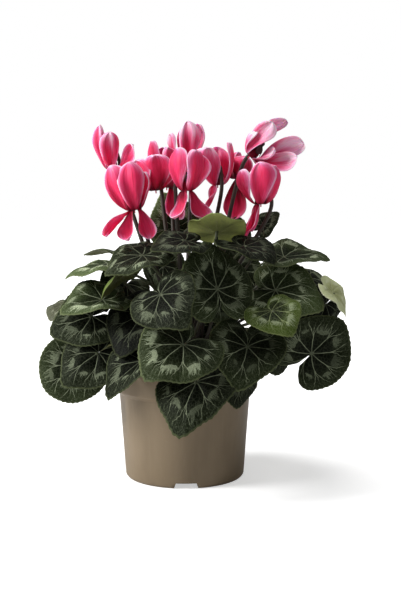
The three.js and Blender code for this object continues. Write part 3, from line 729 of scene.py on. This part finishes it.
def setBetween(stems, outer):
    # further feet, each in the free gap between two outer feet that is nearest to its own direction
    turns = sorted(math.atan2(s["foot"].y, s["foot"].x) for s in outer)
    gaps = [(a + b) / 2 for a, b in zip(turns, turns[1:] + [turns[0] + 2 * math.pi])]
    for s in stems:
        heading = math.atan2(s["seat"].y, s["seat"].x)
        turn = min(gaps, key=lambda gap: abs(math.remainder(gap - heading, 2 * math.pi)))
        gaps.remove(turn)
        s["foot"] = Vector((innerReach * math.cos(turn), innerReach * math.sin(turn), outer[0]["foot"].z))


# Nodes that every material uses

def feed(tree, socket, value):
    if isinstance(value, bpy.types.NodeSocket):
        tree.links.new(value, socket)
    else:
        socket.default_value = value


def calc(tree, operation, *values):
    made = tree.nodes.new("ShaderNodeMath")
    made.operation = operation
    for socket, value in zip(made.inputs, values):
        feed(tree, socket, value)
    return made.outputs[0]


def times(tree, first, second):
    return calc(tree, "MULTIPLY", first, second)


def stir(tree, value, grain, amount):
    # moves the value both ways by a noise that lies round a half
    return calc(tree, "MULTIPLY_ADD", calc(tree, "SUBTRACT", grain, 0.5), amount, value)


def ease(tree, value, low, high, start=0, end=1):
    made = tree.nodes.new("ShaderNodeMapRange")
    made.interpolation_type = "SMOOTHSTEP"
    for socket, given in zip(made.inputs, (value, low, high, start, end)):
        feed(tree, socket, given)
    return made.outputs[0]


def blendColours(tree, share, first, second):
    made = tree.nodes.new("ShaderNodeMix")
    made.data_type = "RGBA"
    for place, given in ((0, share), (6, first), (7, second)):
        feed(tree, made.inputs[place], given)
    return made.outputs[2]


def scaleColour(tree, colour, factor):
    made = tree.nodes.new("ShaderNodeVectorMath")
    made.operation = "SCALE"
    feed(tree, made.inputs["Vector"], colour)
    feed(tree, made.inputs["Scale"], factor)
    return made.outputs["Vector"]


def readMark(tree, name):
    made = tree.nodes.new("ShaderNodeAttribute")
    made.attribute_name = name
    return made.outputs["Fac"]


def joinPlace(tree, x, y, z):
    made = tree.nodes.new("ShaderNodeCombineXYZ")
    for socket, value in zip(made.inputs, (x, y, z)):
        feed(tree, socket, value)
    return made.outputs[0]


def stretchPlace(tree, place, scale):
    made = tree.nodes.new("ShaderNodeMapping")
    feed(tree, made.inputs["Vector"], place)
    made.inputs["Scale"].default_value = scale
    return made.outputs[0]


def cloud(tree, place, scale, detail=3, roughness=0.55):
    made = tree.nodes.new("ShaderNodeTexNoise")
    feed(tree, made.inputs["Vector"], place)
    made.inputs["Scale"].default_value = scale
    made.inputs["Detail"].default_value = detail
    made.inputs["Roughness"].default_value = roughness
    return made.outputs["Fac"]


def cellEdge(tree, place, scale):
    made = tree.nodes.new("ShaderNodeTexVoronoi")
    made.feature = "DISTANCE_TO_EDGE"
    feed(tree, made.inputs["Vector"], place)
    made.inputs["Scale"].default_value = scale
    return made.outputs["Distance"]


def objectPlace(tree):
    return tree.nodes.new("ShaderNodeTexCoord").outputs["Object"]


def emboss(tree, height, strength, distance):
    made = tree.nodes.new("ShaderNodeBump")
    made.inputs["Strength"].default_value = strength
    made.inputs["Distance"].default_value = distance
    feed(tree, made.inputs["Height"], height)
    return made.outputs[0]


def newMaterial(name, **settings):
    material = bpy.data.materials.new(name)
    material.use_nodes = True
    shader = material.node_tree.nodes["Principled BSDF"]
    for label, value in settings.items():
        shader.inputs[label.replace("_", " ")].default_value = value
    return material, material.node_tree, shader


def newGroup(name, inputs, outputs):
    group = bpy.data.node_groups.new(name, "ShaderNodeTree")
    for label in inputs:
        group.interface.new_socket(label, in_out="INPUT", socket_type="NodeSocketFloat")
    for label in outputs:
        group.interface.new_socket(label, in_out="OUTPUT", socket_type="NodeSocketFloat")
    return group, group.nodes.new("NodeGroupInput").outputs, group.nodes.new("NodeGroupOutput").inputs


def useGroup(tree, group, *values):
    made = tree.nodes.new("ShaderNodeGroup")
    made.node_tree = group
    for socket, value in zip(made.inputs, values):
        feed(tree, socket, value)
    return made.outputs


# Leaf materials

veinLook = {
    "wobble": 0.5, "wobbleScale": 5, "crook": 0.14, "crookScale": 30, "widths": (0.009, 0.004),
    "forkFrom": 0.4, "forkSpread": 0.34, "forkWidths": (0.0015, 0.0065), "netScale": 21, "netWidth": 0.1,
}


def makeVeinGroup():
    # main veins fan out from the stalk and fork towards the margin, with a fine net between them
    group, given, out = newGroup("leafVeins", ("Along", "Across", "Share", "Seed"),
                                 ("Lines", "Net", "Between", "Chance"))
    look = veinLook
    along, across, share, seed = given["Along"], given["Across"], given["Share"], given["Seed"]
    flat = joinPlace(group, along, across, seed)
    square = calc(group, "ADD", times(group, along, along), times(group, across, across))
    reach = calc(group, "POWER", square, 0.5)
    turn = calc(group, "ARCTAN2", across, along)
    bent = calc(group, "MULTIPLY_ADD", reach, blade["veinBend"], 1)
    step = math.radians(blade["veinStep"])
    cell = calc(group, "DIVIDE", times(group, turn, bent), step)
    cell = stir(group, cell, cloud(group, flat, look["wobbleScale"]), times(group, share, look["wobble"]))
    cell = stir(group, cell, cloud(group, flat, look["crookScale"], 2), times(group, share, look["crook"]))
    off = calc(group, "ABSOLUTE", calc(group, "SUBTRACT", cell, calc(group, "ROUND", cell)))
    perCell = times(group, reach, step)
    main = calc(group, "DIVIDE", times(group, off, perCell), ease(group, share, 0, 0.75, *look["widths"]))
    main = times(group, ease(group, main, 0.3, 1.2, 1, 0), ease(group, share, 0.62, 0.86, 1, 0.15))
    aside = ease(group, share, look["forkFrom"], 1.0, 0, look["forkSpread"])
    apart = calc(group, "ABSOLUTE", calc(group, "SUBTRACT", off, aside))
    fork = ease(group, times(group, apart, perCell), *look["forkWidths"], 1, 0)
    fork = times(group, fork, ease(group, share, 0.42, 0.5, 0, 0.9))
    fork = times(group, fork, ease(group, share, 0.78, 0.95, 1, 0.1))
    net = ease(group, cellEdge(group, flat, look["netScale"]), 0, look["netWidth"], 1, 0)
    throw = group.nodes.new("ShaderNodeTexWhiteNoise")
    feed(group, throw.inputs["Vector"], joinPlace(group, calc(group, "FLOOR", cell), seed, 0))
    lines = calc(group, "MAXIMUM", main, fork)
    thrown = throw.outputs["Value"]
    for label, value in (("Lines", lines), ("Net", net), ("Between", off), ("Chance", thrown)):
        group.links.new(value, out[label])
    return group


marblingLook = {
    "mottleScale": 4, "fleckScale": 60, "raysAround": 9, "rayScale": 3.4, "raggedScale": 26, "ragged": 1.3,
    "size": 0.5, "sizeRange": 0.66, "wander": 0.14, "fringe": 0.04, "fringeRange": 0.2, "inward": 0.085,
    "sideways": 0.4, "faint": 0.45,
}


def makeMarblingGroup():
    # a silver patch in each gap between main veins, round towards the stalk and fringed outwards
    group, given, out = newGroup("leafMarbling",
                                 ("Along", "Across", "Share", "Seed", "Band", "Between", "Chance"),
                                 ("Silver", "Mottle", "Flecks"))
    look = marblingLook
    share, chance, seed = given["Share"], given["Chance"], given["Seed"]
    flat = joinPlace(group, given["Along"], given["Across"], seed)
    turn = calc(group, "ARCTAN2", given["Across"], given["Along"])
    mottle = cloud(group, flat, look["mottleScale"], 4)
    flecks = cloud(group, flat, look["fleckScale"], 3, 0.7)
    around = joinPlace(group, times(group, turn, look["raysAround"]), share, seed)
    rays = cloud(group, around, look["rayScale"], 4, 0.65)
    # each patch has its own size, place and strength
    thrown = calc(group, "FRACT", times(group, chance, 7))
    size = calc(group, "MULTIPLY_ADD", thrown, look["sizeRange"], look["size"])
    centre = stir(group, given["Band"], chance, look["wander"])
    radial = calc(group, "SUBTRACT", share, centre)
    fringe = calc(group, "MULTIPLY_ADD", ease(group, rays, 0.42, 0.64), look["fringeRange"], look["fringe"])
    outward = calc(group, "DIVIDE", calc(group, "MAXIMUM", radial, 0), fringe)
    inward = calc(group, "DIVIDE", calc(group, "MINIMUM", radial, 0), look["inward"])
    length = calc(group, "ADD", outward, inward)
    sideways = calc(group, "DIVIDE", calc(group, "SUBTRACT", 0.5, given["Between"]), look["sideways"])
    square = calc(group, "ADD", times(group, sideways, sideways), times(group, length, length))
    far = calc(group, "DIVIDE", calc(group, "POWER", square, 0.5), size)
    far = stir(group, far, cloud(group, flat, look["raggedScale"], 5, 0.75), look["ragged"])
    patch = times(group, ease(group, far, 0.88, 1.06, 1, 0), ease(group, flecks, 0.3, 0.55, 0.5, 1))
    halo = times(group, ease(group, rays, 0.5, 0.68), ease(group, flecks, 0.35, 0.6))
    halo = times(group, halo, ease(group, calc(group, "ABSOLUTE", radial), 0.04, 0.2, 0.5, 0))
    strength = ease(group, calc(group, "FRACT", times(group, chance, 13)), 0.1, 0.6, look["faint"], 1)
    silver = times(group, calc(group, "MAXIMUM", patch, halo), strength)
    for label, value in (("Silver", silver), ("Mottle", mottle), ("Flecks", flecks)):
        group.links.new(value, out[label])
    return group


leafPalettes = {
    "leafDark": {
        "deep": (0.0052, 0.0076, 0.0027, 1), "green": (0.019, 0.027, 0.009, 1),
        "silver": (0.27, 0.31, 0.20, 1), "vein": (0.30, 0.34, 0.22, 1), "edge": (0.11, 0.13, 0.06, 1),
        "veinShare": 0.8, "netShare": 0.07, "rough": 0.5, "specular": 0.04, "relief": -1,
    },
    "leafYoung": {
        "deep": (0.008, 0.015, 0.003, 1), "green": (0.088, 0.135, 0.016, 1),
        "silver": (0.30, 0.35, 0.21, 1), "vein": (0.36, 0.42, 0.20, 1), "edge": (0.20, 0.24, 0.09, 1),
        "veinShare": 0.8, "netShare": 0.16, "rough": 0.5, "specular": 0.06, "relief": -1,
    },
    "leafPale": {
        "deep": (0.16, 0.17, 0.075, 1), "green": (0.27, 0.29, 0.16, 1),
        "silver": (0.50, 0.52, 0.38, 1), "vein": (0.40, 0.42, 0.26, 1), "edge": (0.52, 0.52, 0.38, 1),
        "veinShare": 0.6, "netShare": 0.25, "rough": 0.5, "specular": 0.2, "relief": -1,
    },
    "leafUnder": {
        "deep": (0.05, 0.055, 0.018, 1), "green": (0.10, 0.11, 0.032, 1),
        "silver": (0.12, 0.13, 0.05, 1), "vein": (0.16, 0.16, 0.07, 1), "edge": (0.15, 0.16, 0.08, 1),
        "veinShare": 0.7, "netShare": 0.3, "rough": 0.55, "specular": 0.15, "relief": 1,
    },
}


def makeLeafMaterial(name, palette):
    material, tree, shader = newMaterial(name, Specular_IOR_Level=palette["specular"])
    marks = [readMark(tree, n) for n in ("along", "across", "share", "seed")]
    share = marks[2]
    found = useGroup(tree, veins, *marks)
    marbled = useGroup(tree, marbling, *marks, readMark(tree, "band"), found["Between"], found["Chance"])
    outer = stir(tree, share, marbled["Mottle"], 0.8)
    colour = blendColours(tree, ease(tree, outer, 0.3, 0.95), palette["deep"], palette["green"])
    # each leaf's tone, partly its own and partly painted light and shade, scales the green before the
    # marbling and the whole colour after it
    tone = readMark(tree, "tone")
    dotted = times(tree, ease(tree, marbled["Flecks"], 0.5, 0.72), ease(tree, share, 0.68, 0.92, 0, 0.3))
    colour = blendColours(tree, dotted, scaleColour(tree, colour, tone), palette["silver"])
    silver = times(tree, marbled["Silver"], readMark(tree, "pale"))
    silver = times(tree, silver, ease(tree, found["Net"], 0, 1, 1, 0.6))
    colour = blendColours(tree, silver, colour, palette["silver"])
    colour = blendColours(tree, times(tree, found["Net"], palette["netShare"]), colour, palette["vein"])
    lines = times(tree, found["Lines"], ease(tree, share, 0.05, 0.4, 0.35, palette["veinShare"]))
    colour = blendColours(tree, lines, colour, palette["vein"])
    colour = blendColours(tree, ease(tree, share, 0.955, 0.99, 0, 0.7), colour, palette["edge"])
    colour = scaleColour(tree, colour, calc(tree, "POWER", tone, 0.5))
    feed(tree, shader.inputs["Base Color"], colour)
    feed(tree, shader.inputs["Roughness"],
         ease(tree, marbled["Mottle"], 0.3, 0.7, palette["rough"], palette["rough"] + 0.12))
    relief = palette["relief"]
    height = calc(tree, "MULTIPLY_ADD", found["Lines"], relief, times(tree, found["Net"], 0.35 * relief))
    feed(tree, shader.inputs["Normal"], emboss(tree, height, 0.6, 0.0005))
    return material


# Petal, stem, earth and pot materials

petalLook = {
    "throat": (0.05, 0.001, 0.010, 1), "deep": (0.27, 0.002, 0.024, 1), "hot": (0.74, 0.026, 0.108, 1),
    "pale": (0.83, 0.17, 0.37, 1), "rim": (0.92, 0.55, 0.72, 1), "tip": (0.94, 0.70, 0.80, 1),
    "streakStretch": (8, 0.55, 1), "streakScale": 2.6, "mottleScale": 1.4, "patchStretch": (1, 1, 3),
    "patchScale": 1.9, "border": 0.42, "edge": 0.16,
}


def makePetalMaterial():
    look = petalLook
    material, tree, shader = newMaterial("petalPink", Specular_IOR_Level=0.2, Subsurface_Weight=0.4,
                                         Subsurface_Scale=0.003, Subsurface_Radius=(1, 0.25, 0.45))
    marks = [readMark(tree, n) for n in ("along", "across", "share", "seed", "pale")]
    along, across, rim, seed, palenessAndPaintedLight = marks
    flat = joinPlace(tree, across, along, seed)
    streaks = cloud(tree, stretchPlace(tree, flat, look["streakStretch"]), look["streakScale"], 6, 0.66)
    mottle = cloud(tree, flat, look["mottleScale"], 3)
    patch = cloud(tree, stretchPlace(tree, flat, look["patchStretch"]), look["patchScale"], 3)
    # the colour runs from the dark throat to the pale tip in ragged streaks
    climb = stir(tree, stir(tree, along, mottle, 1), streaks, 0.6)
    # each bloom's paleness, partly its own colour and partly painted light and shade, lifts or lowers this
    # whole run
    climb = calc(tree, "ADD", climb, palenessAndPaintedLight)
    colour = blendColours(tree, ease(tree, climb, 0.04, 0.26), look["throat"], look["deep"])
    colour = blendColours(tree, ease(tree, climb, 0.14, 0.66), colour, look["hot"])
    colour = blendColours(tree, ease(tree, climb, 0.72, 1.3, 0, 0.65), colour, look["pale"])
    colour = blendColours(tree, ease(tree, streaks, 0.5, 0.7, 0, 0.55), colour, look["deep"])
    # and its upper rim is pale in places
    ragged = stir(tree, rim, streaks, 0.6)
    # where the rim turns pale also follows the bloom's paleness, which is partly painted light
    lifted = ease(tree, calc(tree, "ADD", along, palenessAndPaintedLight), 0.2, 0.75)
    upper = times(tree, lifted, ease(tree, patch, 0.34, 0.56))
    border = times(tree, ease(tree, ragged, 0.02, look["border"], 0.9, 0), upper)
    colour = blendColours(tree, border, colour, look["pale"])
    edge = times(tree, ease(tree, ragged, -0.02, look["edge"], 1, 0), upper)
    colour = blendColours(tree, edge, colour, look["rim"])
    colour = blendColours(tree, ease(tree, climb, 1.02, 1.5, 0, 0.9), colour, look["tip"])
    feed(tree, shader.inputs["Base Color"], colour)
    feed(tree, shader.inputs["Roughness"], ease(tree, streaks, 0.3, 0.7, 0.5, 0.65))
    feed(tree, shader.inputs["Normal"], emboss(tree, streaks, 0.5, 0.0004))
    return material


stemGrain = {"stretch": (1, 1, 0.12), "scale": 900}
stemLooks = {
    "petioleSkin": {"foot": (0.026, 0.013, 0.008, 1), "top": (0.05, 0.06, 0.024, 1), "rough": 0.46},
    "stalkSkin": {"foot": (0.026, 0.018, 0.009, 1), "top": (0.036, 0.013, 0.010, 1), "rough": 0.46},
}


def makeStemMaterial(name, look):
    material, tree, shader = newMaterial(name)
    grain = cloud(tree, stretchPlace(tree, objectPlace(tree), stemGrain["stretch"]), stemGrain["scale"], 4)
    climb = ease(tree, stir(tree, readMark(tree, "along"), grain, 0.6), 0.1, 0.95)
    feed(tree, shader.inputs["Base Color"], blendColours(tree, climb, look["foot"], look["top"]))
    feed(tree, shader.inputs["Roughness"], ease(tree, grain, 0.3, 0.7, look["rough"], look["rough"] + 0.15))
    feed(tree, shader.inputs["Normal"], emboss(tree, grain, 0.25, 0.0004))
    return material


earthLooks = {
    "peat": {"dark": (0.012, 0.008, 0.005, 1), "light": (0.06, 0.038, 0.024, 1),
             "pale": (0.6, 0.57, 0.5, 1), "grainScale": 420},
    "cork": {"dark": (0.035, 0.02, 0.012, 1), "light": (0.15, 0.095, 0.055, 1),
             "pale": (0.15, 0.095, 0.055, 1), "grainScale": 160},
}


def makeEarthMaterial(name, look):
    material, tree, shader = newMaterial(name)
    place = objectPlace(tree)
    grain = cloud(tree, place, look["grainScale"], 6, 0.7)
    patch = cloud(tree, place, look["grainScale"] / 8, 3)
    colour = blendColours(tree, ease(tree, grain, 0.3, 0.7), look["dark"], look["light"])
    colour = blendColours(tree, ease(tree, patch, 0.4, 0.75, 0, 0.5), colour, look["dark"])
    colour = blendColours(tree, ease(tree, readMark(tree, "share"), 0.6, 0.9), colour, look["pale"])
    feed(tree, shader.inputs["Base Color"], colour)
    feed(tree, shader.inputs["Roughness"], ease(tree, grain, 0.2, 0.8, 0.82, 0.98))
    feed(tree, shader.inputs["Normal"], emboss(tree, grain, 0.8, 0.0012))
    return material


potLook = {
    "plastic": (0.208, 0.156, 0.097, 1), "worn": (0.257, 0.20, 0.135, 1), "dust": (0.156, 0.116, 0.072, 1),
    "fineScale": 2600, "broadScale": 38, "drawnScale": 420, "scuffScale": 210, "scuffs": 0.3,
}


def makePotMaterial():
    look = potLook
    material, tree, shader = newMaterial("potPlastic", Specular_IOR_Level=0.3)
    place = objectPlace(tree)
    fine = cloud(tree, place, look["fineScale"], 3, 0.6)
    broad = cloud(tree, stretchPlace(tree, place, (1, 1, 0.35)), look["broadScale"], 4)
    drawn = cloud(tree, stretchPlace(tree, place, (1, 1, 0.05)), look["drawnScale"], 3)
    scuff = cloud(tree, stretchPlace(tree, place, (1, 1, 2.6)), look["scuffScale"], 5, 0.7)
    scuff = ease(tree, scuff, 0.62, 0.74)
    colour = blendColours(tree, ease(tree, broad, 0.35, 0.7, 0, 0.55), look["plastic"], look["dust"])
    colour = blendColours(tree, ease(tree, drawn, 0.45, 0.8, 0, 0.14), colour, look["worn"])
    colour = blendColours(tree, times(tree, scuff, look["scuffs"]), colour, look["worn"])
    feed(tree, shader.inputs["Base Color"], colour)
    rough = calc(tree, "ADD", ease(tree, broad, 0.3, 0.7, 0.42, 0.55), times(tree, scuff, 0.1))
    feed(tree, shader.inputs["Roughness"], rough)
    height = calc(tree, "MULTIPLY_ADD", drawn, 0.4, times(tree, fine, 0.25))
    feed(tree, shader.inputs["Normal"], emboss(tree, height, 0.2, 0.0003))
    return material


# The plant

leaves = [readyLeaf(leaf, leafLooks.get(i + 1, {})) for i, leaf in enumerate(leaves)]
innerLeaves = [readyLeaf(leaf, innerLooks) for leaf in innerLeaves]
blooms = [readyBloom(bloom, bloomLooks.get(i + 1, {})) for i, bloom in enumerate(blooms)]

steep = sorted(leaves, key=lambda s: -(s["seat"].z - tuber["crownHeight"]) / s["seat"].xy.length)
setFeet(steep, leafRings, "seat")
outerLeaves = sorted(leaves, key=lambda s: -s["foot"].xy.length)[:leafRings[-1][1]]
setBetween(innerLeaves, outerLeaves)
setFeet(sorted(blooms, key=lambda s: s["mouth"].xy.length), stalkRings, "mouth")
print("feet set on the crown")

veins = makeVeinGroup()
marbling = makeMarblingGroup()
leafSkins = {name: makeLeafMaterial(name, palette) for name, palette in leafPalettes.items()}
stemSkins = {name: makeStemMaterial(name, look) for name, look in stemLooks.items()}
petalPink = makePetalMaterial()
earths = {name: makeEarthMaterial(name, look) for name, look in earthLooks.items()}
print("materials made")

finishPiece("potShell", [(makePot(), 0)], [makePotMaterial()], "pot_plastic", "pot")
finishPiece("compost", [(makeSoil(), 0), (makeClods(), 0)], [earths["peat"]], "compost", "soil")
finishPiece("tuberBody", [(makeTuber(), 0)], [earths["cork"]], "tuber_bark", "tuber")
print("pot, compost and tuber made")

for i, leaf in enumerate(leaves + innerLeaves):
    number = i + 1
    axes = bladeAxes(leaf)
    parts = [(makeBlade(leaf, axes, number), 0), (makePetiole(leaf, axes, number), 2)]
    upper = "leafPale" if leaf["pale"] else "leafYoung" if leaf["young"] else "leafDark"
    skins = [leafSkins[upper], leafSkins["leafUnder"], stemSkins["petioleSkin"]]
    node = [f"leaf_{number:02d}"] if i < len(leaves) else []
    finishPiece(f"leafBlade_{number:02d}", parts, skins, "leaf_young" if leaf["young"] else "leaf_green",
                *node, twoSided=True)
print("leaves made")

for i, bloom in enumerate(blooms):
    number = i + 1
    seed = number * 10
    parts = [(makePetal(bloom, shape, seed + k), 0) for k, shape in enumerate(bloom["petals"])]
    parts += [(makeTube(bloom, seed), 0), (makeStyle(bloom, seed), 0)]
    finishPiece(f"petals_{number:02d}", parts, [petalPink], "petal_pink", f"bloom_{number:02d}_corolla")
    parts = [(makeStalk(bloom, number), 0), (makeCalyx(bloom, number), 0)]
    finishPiece(f"flowerStalk_{number:02d}", parts, [stemSkins["stalkSkin"]], "stalk_brown",
                f"bloom_{number:02d}_stalk")
print("blooms made")


# Floor, light and camera

studio = {
    "floorSize": 6, "floorColour": (0.86, 0.86, 0.86, 1), "glowReach": (0.25, 1.0), "glow": (0.6, 1.2),
    "sky": (1, 1, 1, 1), "skyLight": 0.26,
}
lamps = {
    "keyLeft": {"place": (-1.35, -0.35, 0.85), "aim": (0, 0, 0.17), "size": 0.7, "watts": 30},
    "topSoft": {"place": (-0.2, 0.2, 1.6), "aim": (0, 0, 0.2), "size": 1.0, "watts": 16},
}
# the photograph is 401 pixels wide, and its focal length was found in pixels too
view = {
    "place": (0.013, -1.07, 0.286), "pitch": 7.5, "focalPixels": 1319, "photoWidth": 401, "sensorWidth": 36,
}


def makeFloor():
    bm = bmesh.new()
    bmesh.ops.create_grid(bm, x_segments=1, y_segments=1, size=studio["floorSize"] / 2)
    mesh = bpy.data.meshes.new("floor")
    bm.to_mesh(mesh)
    bm.free()
    floor = bpy.data.objects.new("floor", mesh)
    bpy.context.scene.collection.objects.link(floor)
    material, tree, shader = newMaterial("floorPaintAndGlow", Roughness=0.9, Specular_IOR_Level=0.1)
    shader.inputs["Base Color"].default_value = studio["floorColour"]
    shader.inputs["Emission Color"].default_value = studio["floorColour"]
    # the floor glows for camera rays only, weaker near the pot and stronger further out: painted light that
    # turns the far floor white
    seen = tree.nodes.new("ShaderNodeLightPath").outputs["Is Camera Ray"]
    reach = tree.nodes.new("ShaderNodeVectorMath")
    reach.operation = "LENGTH"
    tree.links.new(objectPlace(tree), reach.inputs[0])
    glow = ease(tree, reach.outputs["Value"], *studio["glowReach"], *studio["glow"])
    feed(tree, shader.inputs["Emission Strength"], times(tree, seen, glow))
    mesh.materials.append(material)


def makeSky():
    world = bpy.data.worlds.new("sky")
    world.use_nodes = True
    tree = world.node_tree
    background = tree.nodes["Background"]
    background.inputs["Color"].default_value = studio["sky"]
    seen = tree.nodes.new("ShaderNodeLightPath").outputs["Is Camera Ray"]
    feed(tree, background.inputs["Strength"],
         calc(tree, "MULTIPLY_ADD", seen, 1 - studio["skyLight"], studio["skyLight"]))
    bpy.context.scene.world = world


def addLamp(name, place, aim, size, watts):
    light = bpy.data.lights.new(name, "AREA")
    light.shape, light.size, light.energy = "DISK", size, watts
    lamp = bpy.data.objects.new(name, light)
    lamp.location = place
    lamp.rotation_euler = (Vector(aim) - Vector(place)).to_track_quat("-Z", "Y").to_euler()
    bpy.context.scene.collection.objects.link(lamp)


def addCamera():
    camera = bpy.data.objects.new("camera", bpy.data.cameras.new("camera"))
    camera.data.sensor_fit = "HORIZONTAL"
    camera.data.sensor_width = view["sensorWidth"]
    camera.data.lens = view["focalPixels"] / view["photoWidth"] * view["sensorWidth"]
    camera.location = view["place"]
    camera.rotation_euler = (math.radians(90 - view["pitch"]), 0, 0)
    bpy.context.scene.collection.objects.link(camera)
    bpy.context.scene.camera = camera


makeFloor()
makeSky()
for name, lamp in lamps.items():
    addLamp(name, **lamp)
addCamera()
bpy.context.scene.view_settings.view_transform = "Standard"
print("studio made")
